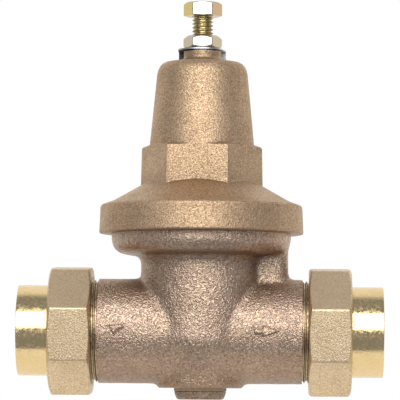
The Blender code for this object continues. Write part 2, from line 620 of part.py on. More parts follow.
# Lock nut on the screw, and the blank tag folded down behind the top boss
lock_nut = hexagon("lock_nut", HEAD_R, Z_LOCK_NUT, Z_LOCK_NUT_TOP, ZINC, True)
combine(lock_nut, rod("lock_nut_hole", SCREW_HOLE_R, Z_TAG, Z_HEAD), "DIFFERENCE")
flap_y = CAP_BOSS_R + FIT + TAG_T
tag = box("name_tag", (-TAG_HALF_W, -TAG_HALF_W, Z_TAG), (TAG_HALF_W, flap_y + TAG_T, Z_TAG + TAG_T), valve)
tag.data.materials.append(TAG_METAL)
flap = box("tag_flap", (-TAG_HALF_W, flap_y, Z_TAG - TAG_FLAP_H), (TAG_HALF_W, flap_y + TAG_T, Z_TAG + TAG_T / 2))
combine(tag, flap, "UNION")
combine(tag, rod("tag_hole", SCREW_HOLE_R + FIT, Z_CAP, Z_HEAD), "DIFFERENCE")
outline = rod("tag_front", TAG_HALF_W, Z_CAP - CAP_BOSS_H, Z_HEAD, ROUND)
back = box("tag_back", (-TAG_HALF_W * 2, 0.0, Z_CAP - CAP_BOSS_H), (TAG_HALF_W * 2, TAG_HALF_W * 3, Z_HEAD))
combine(outline, back, "UNION")
combine(tag, outline, "INTERSECT")

# Unions: each has an eight-sided nut, a tailpiece with a solder cup, and a flat gasket
for side, outward in (("inlet", -1), ("outlet", 1)):
    nut = hexagon(
        f"{side}_union_nut", NUT_R, X_NUT, X_NUT_END, NUT_BRONZE, True, NUT_SIDES, NUT_CHAMFER / 2, outward,
    )
    bore = turned(f"{side}_nut_bore", [
        (0.0, X_NUT_END + OVERRUN), (NUT_HOLE_R, X_NUT_END + OVERRUN), (NUT_HOLE_R, X_NUT_SHOULDER),
        (SPIGOT_R + FIT, X_NUT_SHOULDER), (SPIGOT_R + FIT, X_NUT - OVERRUN), (0.0, X_NUT - OVERRUN),
    ], cutters, outward=outward)
    combine(nut, bore, "DIFFERENCE")
    tail_profile = [
        (TAIL_R, X_TAIL_END), (TAIL_R, X_COLLAR), (COLLAR_R, X_COLLAR), (COLLAR_R, X_TAIL),
        (WATERWAY_R, X_TAIL), (WATERWAY_R, X_TAIL_END - CUP_DEPTH), (CUP_BORE_R, X_TAIL_END - CUP_DEPTH),
        (CUP_BORE_R, X_TAIL_END),
    ]
    turned(f"{side}_tailpiece", tail_profile, valve, BRASS, ring=True, outward=outward)
    ring(
        f"{side}_union_gasket", COLLAR_R, RUN_BORE_R, X_GASKET, X_GASKET + UNION_GASKET_T, valve, FIBRE, FINE,
        outward,
    )
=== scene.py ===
"""Looks of a pressure reducing valve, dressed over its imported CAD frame.

The pipe runs along X, inlet at -X and outlet at +X. The camera stands on the -Y side.
Sizes of the valve are in millimetres, and MM takes them to Blender's metres.
"""

import json
import math

import bmesh
import bpy
from mathutils import Matrix, Vector, noise

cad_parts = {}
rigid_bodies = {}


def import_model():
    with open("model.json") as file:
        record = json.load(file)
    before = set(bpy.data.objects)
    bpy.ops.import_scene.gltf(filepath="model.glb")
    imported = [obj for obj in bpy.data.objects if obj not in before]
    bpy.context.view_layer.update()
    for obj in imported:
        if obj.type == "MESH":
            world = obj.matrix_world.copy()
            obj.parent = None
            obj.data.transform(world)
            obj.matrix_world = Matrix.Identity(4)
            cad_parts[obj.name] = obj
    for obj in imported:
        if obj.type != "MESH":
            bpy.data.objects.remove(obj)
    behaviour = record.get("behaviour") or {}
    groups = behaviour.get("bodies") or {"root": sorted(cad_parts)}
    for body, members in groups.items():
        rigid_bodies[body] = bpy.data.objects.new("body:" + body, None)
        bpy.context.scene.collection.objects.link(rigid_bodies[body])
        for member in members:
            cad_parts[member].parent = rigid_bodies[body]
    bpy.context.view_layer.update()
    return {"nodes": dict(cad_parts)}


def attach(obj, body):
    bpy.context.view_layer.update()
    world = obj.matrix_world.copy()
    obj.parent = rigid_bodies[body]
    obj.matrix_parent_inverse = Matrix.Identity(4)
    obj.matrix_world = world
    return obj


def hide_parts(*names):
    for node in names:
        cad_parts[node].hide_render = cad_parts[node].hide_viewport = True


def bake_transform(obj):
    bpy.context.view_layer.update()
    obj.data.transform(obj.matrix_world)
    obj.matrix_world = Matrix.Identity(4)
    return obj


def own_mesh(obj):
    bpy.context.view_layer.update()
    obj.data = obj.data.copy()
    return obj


for leftover in list(bpy.data.objects):
    bpy.data.objects.remove(leftover, do_unlink=True)
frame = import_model()

# Bottom plug: a round bronze plug that closes the boss under the stem, cast and then skimmed in a lathe.
# It screws up into the boss by a hexagon socket in its foot, and the valve stands on it.
MM = 0.001
SOCKET_R = 4.2
SOCKET_DEPTH = 3.6
SOCKET_FLATS = 3.64
SOCKET_BAND = 0.4
STAIN_WIDTH = 14
FILM_WIDTH = 6
CORNER_SHADE_REACH = 10
plug_corners = [
    (0.0, 8.7, 0), (8.3, 8.7, 0.5), (8.3, 3.1, 0), (9.7, 3.1, 0.35), (9.2, 1.2, 0.6), (8.5, 0.0, 0.8),
    (5.2, 0.0, 0.2), (4.3, 0.5, 0), (SOCKET_R, SOCKET_DEPTH, 0), (0.0, 3.9, 0),
]


def linear(code):
    """The linear colour that a shader takes, from an sRGB hex value."""
    shares = [int(code[i:i + 2], 16) / 255 for i in (1, 3, 5)]
    return (*[s / 12.92 if s <= 0.04045 else ((s + 0.055) / 1.055) ** 2.4 for s in shares], 1.0)


def node(tree, kind, sockets=None, **settings):
    """Adds a shader node with its settings; a socket is set to a value, or linked to another's output."""
    made = tree.nodes.new("ShaderNode" + kind)
    for name, value in settings.items():
        setattr(made, name, value)
    for name, value in (sockets or {}).items():
        if isinstance(value, bpy.types.NodeSocket):
            tree.links.new(value, made.inputs[name])
        else:
            made.inputs[name].default_value = value
    return made


def new_tree(name):
    """A material with an empty node tree, and the object coordinates that its patterns read."""
    made = bpy.data.materials.new(name)
    made.use_nodes = True
    made.node_tree.nodes.clear()
    return made, made.node_tree, node(made.node_tree, "TexCoord").outputs["Object"]


def cast_bronze(name, pale, deep, grain, worm, depth, rough, bloom=0.08, shade_height=0.1):
    """Sand-cast bronze: sand leaves grains and worm-like ridges of mixed tone, darkened in their pits and in
    inner corners as painted shade.

    grain and worm are the widths in mm of the grains and ridges, and depth is the ridges' height in mm.
    bloom is the share of a pink and olive film over it. The last argument is a height in mm up from the
    table, below which the colour is painted darker and browner as painted shade.
    """
    made, tree, place = new_tree(name)
    sand = node(tree, "TexNoise", {
        "Vector": place, "Scale": 1 / (grain * MM), "Detail": 2.0, "Roughness": 0.6})
    ridge = node(tree, "TexNoise", {
        "Vector": place, "Scale": 1 / (worm * MM), "Detail": 1.0, "Roughness": 0.5, "Distortion": 0.9})
    stain = node(tree, "TexNoise", {
        "Vector": place, "Scale": 1 / (STAIN_WIDTH * MM), "Detail": 3.0, "Roughness": 0.55})
    height = node(tree, "Math", {
        0: sand.outputs["Fac"], 1: 0.5, 2: ridge.outputs["Fac"]}, operation="MULTIPLY_ADD")
    # The grain's tone follows its height: its own mixed tone, with painted shade making the low pits darker
    grain_and_pit_shade = node(tree, "MapRange", {"Value": height.outputs[0], "From Min": 0.52, "From Max": 0.98})
    tone = node(tree, "MapRange", {
        "Value": stain.outputs["Fac"], "From Min": 0.3, "From Max": 0.7, "To Min": -0.14, "To Max": 0.14})
    share = node(tree, "Math", {0: grain_and_pit_shade.outputs[0], 1: tone.outputs[0]}, operation="ADD", use_clamp=True)
    colour = node(tree, "Mix", {0: share.outputs[0], 6: linear(deep), 7: linear(pale)}, data_type="RGBA")
    film = node(tree, "TexNoise", {"Vector": place, "Scale": 1 / (FILM_WIDTH * MM), "Detail": 2.0})
    patch = node(tree, "MapRange", {"Value": film.outputs["Fac"], "From Min": 0.35, "From Max": 0.65})
    tint = node(tree, "Mix", {
        0: patch.outputs[0], 6: linear("#fff6fd"), 7: linear("#fbfff0")}, data_type="RGBA")
    colour = node(tree, "Mix", {
        0: bloom, 6: colour.outputs[2], 7: tint.outputs[2]}, data_type="RGBA", blend_type="MULTIPLY")
    # Painted shade: the more enclosed a point is, the more its colour is mixed towards a dark brown-grey, in
    # inner corners and recesses
    corner = node(tree, "AmbientOcclusion", {"Distance": CORNER_SHADE_REACH * MM}, samples=6, only_local=True)
    dull = node(tree, "MapRange", {
        "Value": corner.outputs["AO"], "From Min": 0.35, "From Max": 0.93, "To Min": 0.8, "To Max": 0.0})
    shade_painted = node(tree, "Mix", {
        0: dull.outputs[0], 6: colour.outputs[2], 7: linear("#6a6052")}, data_type="RGBA")
    above = node(tree, "SeparateXYZ", {0: place})
    # Painted shade: below the given height the colour darkens towards the table, to a brown
    low = node(tree, "MapRange", {
        "Value": above.outputs["Z"], "From Max": shade_height * MM, "To Min": 0.7, "To Max": 0.0})
    shade_painted = node(tree, "Mix", {0: low.outputs[0], 6: shade_painted.outputs[2], 7: linear("#7d6148")}, data_type="RGBA")
    gloss = node(tree, "MapRange", {
        "Value": share.outputs[0], "To Min": rough + 0.1, "To Max": rough - 0.06})
    bump = node(tree, "Bump", {"Height": height.outputs[0], "Strength": 1.0, "Distance": depth * MM})
    shader = node(tree, "BsdfPrincipled", {
        "Base Color": shade_painted.outputs[2], "Roughness": gloss.outputs[0], "Normal": bump.outputs[0],
        "Metallic": 1.0})
    node(tree, "OutputMaterial", {"Surface": shader.outputs[0]})
    return made


def turn(corners, steps=96, row=2.5, closed=False):
    """Spins a profile about Z. Its corners hold (radius, height, rounding) in mm, down the outer side first.

    Rows at most `row` mm apart stay along the profile for a press or a bend; a closed profile makes a ring.
    """
    form = bmesh.new()
    verts = [form.verts.new((radius * MM, 0.0, height * MM)) for radius, height, _ in corners]
    for one, other in zip(verts, verts[1:]):
        form.edges.new((one, other))
    if closed:
        form.edges.new((verts[-1], verts[0]))
    for vert, corner in zip(verts, corners):
        if corner[2]:
            bmesh.ops.bevel(
                form, geom=[vert], offset=corner[2] * MM, offset_type="OFFSET", segments=4, profile=0.5,
                affect="VERTICES", material=-1,
            )
    for edge in form.edges[:]:
        cuts = int(edge.calc_length() / (row * MM))
        if cuts:
            bmesh.ops.subdivide_edges(form, edges=[edge], cuts=cuts)
    bmesh.ops.spin(
        form, geom=form.verts[:] + form.edges[:], cent=(0, 0, 0), axis=(0, 0, 1), angle=2 * math.pi,
        steps=steps, use_merge=True,
    )
    bmesh.ops.remove_doubles(form, verts=form.verts, dist=0.001 * MM)
    bmesh.ops.recalc_face_normals(form, faces=form.faces)
    return form


def flat_radius(angle, sides, half_flats, clock, rounding=0.0):
    """Distance in mm from the axis to the side of a regular prism, a flat of which faces the clock angle."""
    step = 2 * math.pi / sides
    off = abs((angle - clock + step / 2) % step - step / 2)
    centre = (half_flats - rounding) / math.cos(step / 2)
    if off <= math.atan2(centre * math.sin(step / 2), half_flats):
        return half_flats / math.cos(off)
    across = centre * math.sin(step / 2 - off)
    return centre * math.cos(step / 2 - off) + math.sqrt(rounding ** 2 - across ** 2)


def loose(form, finishes, name="working"):
    """An object at the origin that holds a form and its finishes."""
    mesh = bpy.data.meshes.new(name)
    form.to_mesh(mesh)
    form.free()
    for finish in finishes:
        mesh.materials.append(finish)
    made = bpy.data.objects.new(name, mesh)
    bpy.context.scene.collection.objects.link(made)
    return made


def piece(name, form, finishes, body, slot, *stands_for, crease=34.0):
    """A finished object of a form: smooth but for its creases, riding on a body in place of CAD nodes."""
    for face in form.faces:
        face.smooth = True
    for edge in form.edges:
        edge.smooth = edge.calc_face_angle(0.0) < math.radians(crease)
    made = loose(form, finishes, name)
    if body:
        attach(made, body)
    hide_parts(*stands_for)
    return made


# Handled bronze of the plug: darker than the other castings, from the hands and wrenches that turned it
PLUG_BRONZE = cast_bronze(
    "handled_plug_bronze", "#a5907d", "#6f5e4f", grain=0.4, worm=0.8, depth=0.3, rough=0.46)
plug = turn(plug_corners)
for vert in plug.verts:
    radius = math.hypot(vert.co.x, vert.co.y) / MM
    if abs(radius - SOCKET_R) < SOCKET_BAND and vert.co.z < (SOCKET_DEPTH + 0.2) * MM:
        angle = math.atan2(vert.co.y, vert.co.x)
        vert.co.xy *= flat_radius(angle, 6, SOCKET_FLATS, 0.0) / SOCKET_R
piece("plug_looks", plug, [PLUG_BRONZE], "valve", "body_bronze", "bottom_plug")

# Plug gasket: a flat ring punched from brown fibre sheet, squeezed between the plug and the boss.
# Only its edge shows, as a thin line.
gasket_corners = [(9.8, 4.28, 0), (9.8, 3.12, 0.2), (8.35, 3.12, 0), (8.35, 4.28, 0)]


def matt_skin(name, deep, pale, speck, relief, rough, shine, detail=3.0, strength=0.6, distortion=0.0):
    """A dull skin that isn't metal: specks of two tones, speck mm across, that stand up by relief mm."""
    made, tree, place = new_tree(name)
    specks = node(tree, "TexNoise", {
        "Vector": place, "Scale": 1 / (speck * MM), "Detail": detail, "Distortion": distortion})
    colour = node(tree, "Mix", {
        0: specks.outputs["Fac"], 6: linear(deep), 7: linear(pale)}, data_type="RGBA")
    bump = node(tree, "Bump", {
        "Height": specks.outputs["Fac"], "Strength": strength, "Distance": relief * MM})
    shader = node(tree, "BsdfPrincipled", {
        "Base Color": colour.outputs[2], "Normal": bump.outputs[0], "Roughness": rough,
        "Specular IOR Level": shine})
    node(tree, "OutputMaterial", {"Surface": shader.outputs[0]})
    return made


# Pressed paper fibre soaked in oil: dull brown with short pale threads 0.2 mm wide
FIBRE = matt_skin(
    "punched_brown_fibre", "#a08c77", "#c8b59d", speck=0.2, relief=0.05, rough=0.8, shine=0.3,
    strength=0.5, distortion=1.5)
piece("plug_gasket_looks", turn(gasket_corners, closed=True), [FIBRE], "valve", "fibre", "plug_gasket")

# Body: one sand casting in bronze, a run tube crossed by a barrel with a flange, boss and half-round riser.
# The flange, boss, bores and both threaded ends are then machined, so they are bright and sharp-edged.
AXIS = 25.4
SHOULDER = 61.65
BOSS_FACE = 4.3
CAST_HALF = 37.9
TUBE_R = 19.5
TUBE_HALF = 41.0
BARREL_R = 22.3
TAPER_TOP = 23.5
TAPER_H = 17.4
TAPER_MIDDLE = 19.3
TAPER_SWING = 3.0
TAPER_PARTS = 12
FLANGE_R = 33.5
RISER_X = 24.4
RISER_R = 9.6
RISER_FLATS = 8.2
RIM_R = 32.7
SPIGOT_CREST = 19.05
SPIGOT_ROOT = 18.2
SPIGOT_PITCH = 1.38
SPIGOT_END = 45.2
SPIGOT_LAP = 3.0
BORE_R = 13.0
BORE_MOUTH = 47.0
PASSAGE_X = 22.2
PASSAGE_R = 5.4
ARROW_BASE = 18.0
ARROW_RISE = 2.5
ARROW_ROUND = 0.45
BODY_ROW = 3.0
BODY_VOXEL = 0.62
ROUND_STRETCH = 0.08
MOTTLE_WIDTH = 6
WAVE_WIDTH = 1.2
barrel_corners = [
    (0.0, 64.0, 0), (FLANGE_R, 64.0, 0), (FLANGE_R, 54.7, 4.4), (22.4, 53.3, 2.4), (BARREL_R, TAPER_TOP, 0),
]
# Below the pipe's axis the barrel narrows to the boss along half a wave
for part in range(1, TAPER_PARTS + 1):
    share = part / TAPER_PARTS
    barrel_corners.append((
        TAPER_MIDDLE + TAPER_SWING * math.cos(math.pi * share), TAPER_TOP - TAPER_H * share, 0))
barrel_corners += [(15.9, 3.9, 1.2), (0.0, 3.9, 0)]
tube_corners = [(0.0, TUBE_HALF, 0), (TUBE_R, TUBE_HALF, 0), (TUBE_R, -TUBE_HALF, 0), (0.0, -TUBE_HALF, 0)]
riser_corners = [(0.0, 56.5, 0), (RISER_R, 56.5, 0), (RISER_R, 26.0, 0), (0.0, 26.0, 0)]
rim_corners = [(0, 66.5, 0), (RIM_R, 66.5, 0.5), (RIM_R, 59.0, 0), (0, 59.0, 0)]
cavity_corners = [
    (0.0, 68.0, 0), (26.5, 68.0, 0), (26.5, 57.5, 0.5), (18.0, 57.5, 0.5), (18.0, 40.1, 0.5), (12.3, 40.1, 0),
    (12.3, 35.1, 0), (14.5, 35.1, 0.5), (14.5, 15.7, 0.5), (8.0, 15.7, 0), (8.0, 9.0, 0), (8.6, 9.0, 0),
    (8.6, 2.0, 0), (0.0, 2.0, 0),
]
inlet_corners = [
    (0.0, BORE_MOUTH, 0), (BORE_R, BORE_MOUTH, 0), (BORE_R, 20.8, 1.0), (9.4, 20.8, 0.5), (9.4, 7.2, 0),
    (0.0, 7.2, 0),
]
outlet_corners = [(0.0, BORE_MOUTH, 0), (BORE_R, BORE_MOUTH, 0), (BORE_R, 18.0, 1.0), (0.0, 18.0, 0)]
passage_corners = [(0.0, 58.5, 0), (PASSAGE_R, 58.5, 0), (PASSAGE_R, 31.9, 0), (0.0, 31.9, 0)]
outlet_arrow = [
    (20.2, 24.4), (20.2, 26.1), (23.4, 26.1), (23.4, 27.3), (29.2, 25.3), (23.4, 23.3), (23.4, 24.4),
]
inlet_barb = [(-33.4, 27.0), (-28.6, 27.5), (-27.6, 26.4), (-30.4, 25.6), (-31.4, 23.7)]


def least(one, other, soft):
    """The lesser of two lengths, rounded off where they cross."""
    near = max(soft - abs(one - other), 0.0) / soft
    return min(one, other) - near * near * soft / 4


def gather(form, sides, clock, power):
    """Draws the steps of a turned form together at the corners of a prism, which then round off finely."""
    step = 2 * math.pi / sides
    for vert in form.verts:
        off = (math.atan2(vert.co.y, vert.co.x) - clock + step / 2) % step - step / 2
        drawn = math.copysign((1 - (1 - 2 * abs(off) / step) ** power) * step / 2, off)
        vert.co.rotate(Matrix.Rotation(drawn - off, 3, "Z"))


def press(form, sides, half_flats, clock, inside, rounding, soft):
    """Presses the turned skin further out than `inside` mm to the flats of a prism with rounded corners."""
    gather(form, sides, clock, power=2.5)
    for vert in form.verts:
        radius = math.hypot(vert.co.x, vert.co.y) / MM
        if radius > inside:
            angle = math.atan2(vert.co.y, vert.co.x)
            pressed = least(radius, flat_radius(angle, sides, half_flats, clock, rounding), soft)
            vert.co.x *= pressed / radius
            vert.co.y *= pressed / radius


def lay(form, outward=1):
    """Lays a form turned about Z along the pipe, its foot outward and its first corner to the camera."""
    bmesh.ops.transform(form, verts=form.verts, matrix=Matrix((
        (0, 0, outward, 0), (-1, 0, 0, 0), (0, 1, 0, AXIS * MM), (0, 0, 0, 1))))
    bmesh.ops.recalc_face_normals(form, faces=form.faces)
    return form


def settle(*working):
    """The form that the first working object's modifiers give; all of them are then removed."""
    shown = working[0].evaluated_get(bpy.context.evaluated_depsgraph_get())
    form = bmesh.new()
    form.from_mesh(shown.to_mesh())
    shown.to_mesh_clear()
    for made in working:
        mesh = made.data
        bpy.data.objects.remove(made, do_unlink=True)
        bpy.data.meshes.remove(mesh)
    return form


def combine(base, tool, operation, finishes):
    """Joins, cuts or trims a closed form by another. The tool's faces keep their own finish."""
    base = loose(base, finishes)
    tool = loose(tool, finishes)
    boolean = base.modifiers.new("combine", "BOOLEAN")
    boolean.operation = operation
    boolean.solver = "MANIFOLD"
    boolean.object = tool
    return settle(base, tool)


def finish_faces(form, index):
    """Gives every face of a form one of its finishes."""
    for face in form.faces:
        face.material_index = index
    return form


def soften(form, verts, times):
    """Smooths points of a form, which rounds its inner and outer corners."""
    for _ in range(times):
        bmesh.ops.smooth_vert(
            form, verts=verts, factor=0.5, use_axis_x=True, use_axis_y=True, use_axis_z=True)


def trim(form, place, outward):
    """Cuts a form off square at a plane, in mm, and closes it with a flat face."""
    bmesh.ops.bisect_plane(
        form, geom=form.verts[:] + form.edges[:] + form.faces[:], dist=0.0005 * MM,
        plane_co=Vector(place) * MM, plane_no=outward, clear_outer=True,
    )
    bmesh.ops.holes_fill(form, edges=[edge for edge in form.edges if edge.is_boundary], sides=0)
    bmesh.ops.recalc_face_normals(form, faces=form.faces)


def threaded(crest, root, pitch, low, high, steps):
    """A threaded bar between two heights in mm: one groove's profile swept up a helix and cut square."""
    turns = int((high - low) / pitch) + 3
    form = bmesh.new()
    outline = ((root, 0.0), (root, 0.12), (crest, 0.44), (crest, 0.56), (root, 0.88), (root, 1.0))
    start = low - 1.5 * pitch
    verts = [form.verts.new((radius * MM, 0.0, (start + share * pitch) * MM)) for radius, share in outline]
    edges = [form.edges.new(pair) for pair in zip(verts, verts[1:])]
    bmesh.ops.spin(
        form, geom=verts + edges, cent=(0, 0, 0), axis=(0, 0, 1), dvec=(0, 0, pitch * MM / steps),
        angle=2 * math.pi * turns, steps=steps * turns,
    )
    bmesh.ops.remove_doubles(form, verts=form.verts, dist=0.005 * MM)
    trim(form, (0, 0, low), (0, 0, -1))
    trim(form, (0, 0, high), (0, 0, 1))
    return form


def turned_metal(name, pale, deep, rough, line, depth, axis, buffed=1.0):
    """Metal turned in a lathe: fine tool lines round the axis, low waves and a slightly mottled tone.

    line is the spacing of the tool lines in mm, drawn coarser than the real feed so that it can show.
    buffed is the height of the waves that a buffing wheel leaves, as a share of the tool lines' depth.
    """
    made, tree, place = new_tree(name)
    along = (1.0, ROUND_STRETCH, ROUND_STRETCH) if axis == "X" else (ROUND_STRETCH, ROUND_STRETCH, 1.0)
    squeezed = node(tree, "Mapping", {"Vector": place, "Scale": along})
    feed = node(tree, "TexNoise", {"Vector": squeezed.outputs[0], "Scale": 1 / (line * MM), "Detail": 2.0})
    mottle = node(tree, "TexNoise", {"Vector": place, "Scale": 1 / (MOTTLE_WIDTH * MM), "Detail": 3.0})
    colour = node(tree, "Mix", {
        0: mottle.outputs["Fac"], 6: linear(deep), 7: linear(pale)}, data_type="RGBA")
    wave = node(tree, "TexNoise", {"Vector": place, "Scale": 1 / (WAVE_WIDTH * MM), "Detail": 2.0})
    gloss = node(tree, "MapRange", {
        "Value": wave.outputs["Fac"], "From Min": 0.35, "From Max": 0.65, "To Min": rough * 1.9,
        "To Max": rough * 0.6})
    skin = node(tree, "Math", {
        0: wave.outputs["Fac"], 1: buffed, 2: feed.outputs["Fac"]}, operation="MULTIPLY_ADD")
    bump = node(tree, "Bump", {"Height": skin.outputs[0], "Strength": 1.0, "Distance": depth * MM})
    shader = node(tree, "BsdfPrincipled", {
        "Base Color": colour.outputs[2], "Roughness": gloss.outputs[0], "Normal": bump.outputs[0],
        "Metallic": 1.0})
    node(tree, "OutputMaterial", {"Surface": shader.outputs[0]})
    return made


# Sand-cast bronze of the body: a pinkish brown metal with a coarse, wormy skin that glints on its ridges,
# painted darker over its lowest 24 mm as painted shade
BODY_BRONZE = cast_bronze(
    "sand_cast_body_bronze", "#d9bea6", "#9c8470", grain=0.46, worm=0.8, depth=0.33, rough=0.38, bloom=0.3,
    shade_height=24.0)
# Machined bronze: smoother and yellower than the cast skin, with faint tool lines
CUT_BRONZE = turned_metal(
    "machined_bronze", "#d2be9c", "#a3927a", rough=0.3, line=0.3, depth=0.02, axis="X", buffed=0.3)
BODY_FINISHES = [BODY_BRONZE, CUT_BRONZE]
casting = turn(barrel_corners, row=BODY_ROW)
riser = turn(riser_corners, steps=48, row=BODY_ROW)
press(riser, 4, RISER_FLATS, math.pi / 2, inside=5.0, rounding=4.5, soft=0.3)
bmesh.ops.translate(riser, verts=riser.verts, vec=(RISER_X * MM, 0, 0))
tube = lay(turn(tube_corners, row=BODY_ROW))
for other in (riser, tube):
    working = bpy.data.meshes.new("working")
    other.to_mesh(working)
    other.free()
    casting.from_mesh(working)
    bpy.data.meshes.remove(working)
casting = loose(casting, BODY_FINISHES)
remesh = casting.modifiers.new("mould", "REMESH")
remesh.mode = "VOXEL"
remesh.voxel_size = BODY_VOXEL * MM
casting = settle(casting)
soften(casting, casting.verts, times=11)
# The riser's foot runs out into the tube and the barrel in a wider fillet
foot = [
    vert for vert in casting.verts
    if vert.co.x > 12 * MM and abs(vert.co.y) < 16 * MM and 36 * MM < vert.co.z < 53 * MM
]
soften(casting, foot, times=16)
casting.normal_update()
# The mould's face swells and sinks by 0.10 mm over about 9 mm, and by 0.05 mm over about 2.6 mm
for vert in casting.verts:
    swell = noise.noise(vert.co / (9 * MM)) * 0.10 + noise.noise(vert.co / (2.6 * MM)) * 0.05
    vert.co += vert.normal * swell * MM
trim(casting, (0, 0, SHOULDER), (0, 0, 1))
trim(casting, (0, 0, BOSS_FACE), (0, 0, -1))
trim(casting, (CAST_HALF, 0, 0), (1, 0, 0))
trim(casting, (-CAST_HALF, 0, 0), (-1, 0, 0))
for outward in (-1, 1):
    spigot = threaded(SPIGOT_CREST, SPIGOT_ROOT, SPIGOT_PITCH, CAST_HALF - SPIGOT_LAP, SPIGOT_END, steps=96)
    casting = combine(casting, finish_faces(lay(spigot, outward), 1), "UNION", BODY_FINISHES)
casting = combine(casting, finish_faces(turn(rim_corners), 1), "UNION", BODY_FINISHES)
passage = turn(passage_corners, steps=48)
bmesh.ops.translate(passage, verts=passage.verts, vec=(PASSAGE_X * MM, 0, 0))
inlet = lay(turn(inlet_corners, steps=72), -1)
outlet = lay(turn(outlet_corners, steps=72))
for hollow in (turn(cavity_corners), inlet, outlet, passage):
    casting = combine(casting, finish_faces(hollow, 1), "DIFFERENCE", BODY_FINISHES)
# Two flow marks stand up from the tube's skin, an arrow at the outlet and a barb at the inlet
for outline in (outlet_arrow, inlet_barb):
    arrow = bmesh.new()
    flat = arrow.faces.new([arrow.verts.new((x * MM, -ARROW_BASE * MM, z * MM)) for x, z in outline])
    raised = bmesh.ops.extrude_face_region(arrow, geom=[flat])["geom"]
    top = [part for part in raised if isinstance(part, bmesh.types.BMVert)]
    bmesh.ops.translate(arrow, verts=top, vec=(0, -ARROW_RISE * MM, 0))
    bmesh.ops.recalc_face_normals(arrow, faces=arrow.faces)
    bmesh.ops.bevel(
        arrow, geom=[edge for edge in arrow.edges if all(vert in top for vert in edge.verts)],
        offset=ARROW_ROUND * MM, offset_type="OFFSET", segments=3, profile=0.5, affect="EDGES", material=-1,
    )
    casting = combine(casting, arrow, "UNION", BODY_FINISHES)
# The shoulder and the flat faces that were cut square, each one many-sided face so far, are machined
for face in casting.faces:
    if face.calc_center_median().z > (SHOULDER - 0.05) * MM or len(face.verts) > 8:
        face.material_index = 1
bmesh.ops.triangulate(casting, faces=[face for face in casting.faces if len(face.verts) > 4])
piece("body_looks", casting, BODY_FINISHES, "valve", "body_bronze", "body")

# Seat ring and strainer: stainless steel, hidden in the bridge of the body behind the inlet.
# The ring is turned and pressed in over an O-ring; the strainer is a slotted sheet rolled to a tube.


def dress(finish, *names):
    """Gives CAD nodes that keep their own shape a finish."""
    for name in names:
        slots = frame["nodes"][name].data.materials
        slots.clear()
        slots.append(finish)


# Turned stainless steel: cool grey, half bright, with faint tool lines
STAINLESS = turned_metal(
    "turned_stainless_steel", "#c9c6c0", "#a8a5a0", rough=0.26, line=0.25, depth=0.015, axis="Z")
# Moulded nitrile rubber: soot black, dull, with a fine orange-peel skin 0.4 mm across
RUBBER = matt_skin(
    "moulded_nitrile_rubber", "#141414", "#2a2a29", speck=0.4, relief=0.04, rough=0.6, shine=0.4)
dress(STAINLESS, "seat_ring", "strainer_screen")
dress(RUBBER, "seat_o_ring", "piston_o_ring", "seat_disc")

# Stem: one brass bar turned to a piston, a disc cup and a threaded rod, with its disc held by a brass nut.
# It slides in the body and carries the diaphragm between a brass washer and a pressed steel plate.

# Turned brass bar: plain yellow with fine tool lines round the stem
STEM_BRASS = turned_metal(
    "turned_brass_bar", "#d9b46a", "#b98f4a", rough=0.22, line=0.3, depth=0.02, axis="Z")
# Oiled spring steel: dark grey with a soft shine
SPRING_STEEL = turned_metal(
    "oiled_spring_steel", "#77777a", "#4d4d50", rough=0.34, line=0.4, depth=0.02, axis="Z")
dress(STEM_BRASS, "stem", "disc_nut", "diaphragm_washer", "friction_ring")
dress(SPRING_STEEL, "spring_plate", "stem_nut", "spring_button")

# Diaphragm: a sheet of fabric-backed nitrile rubber, moulded with one convolution and clamped under the bell.
# In the valve its middle rises with the stem, so it flattens as the stem lifts; here it is built in its
# moulded shape and rides on the valve's body.
SHEET_T = 1.6
SHEET_LOW = 64.8
SHEET_RISE = 2.0
PLATE_EDGE = 17.7
WAVE_REACH = 8.2
WAVE_H = 2.6
WAVE_PARTS = 12
under = [(4.3, SHEET_LOW, 0), (PLATE_EDGE, SHEET_LOW, 0.8)]
for part in range(1, WAVE_PARTS):
    share = part / WAVE_PARTS
    wave_height = SHEET_LOW + SHEET_RISE * share + WAVE_H * math.sin(math.pi * share)
    under.append((PLATE_EDGE + WAVE_REACH * share, wave_height, 0))
under += [(25.9, 66.8, 0.4), (32.4, 66.8, 0)]
over = [(radius, height + SHEET_T, rounding) for radius, height, rounding in under]
sheet = turn(over + under[::-1], steps=72, row=2.0, closed=True)
diaphragm = piece("diaphragm_looks", sheet, [RUBBER], "valve", "rubber", "diaphragm")
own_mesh(diaphragm)

# Adjusting spring: round spring-steel wire wound in seven turns, its end turns closed to stand square.
# Its lower end bears on the spring plate on the stem and its upper end on the button under the screw.
# It is built as two halves that meet in the middle turn, and neither half is attached to a body.
SPRING_R = 10.0
WIRE_R = 1.75
SPRING_LOW = 71.25
SPRING_HIGH = 106.55
END_PITCH = 4.1
HALF_TURNS = 2.5
WINDING_STEPS = 36
free_pitch = (SPRING_HIGH - SPRING_LOW - 2 * END_PITCH) / (2 * HALF_TURNS)
spring_middle = (SPRING_LOW + SPRING_HIGH) / 2


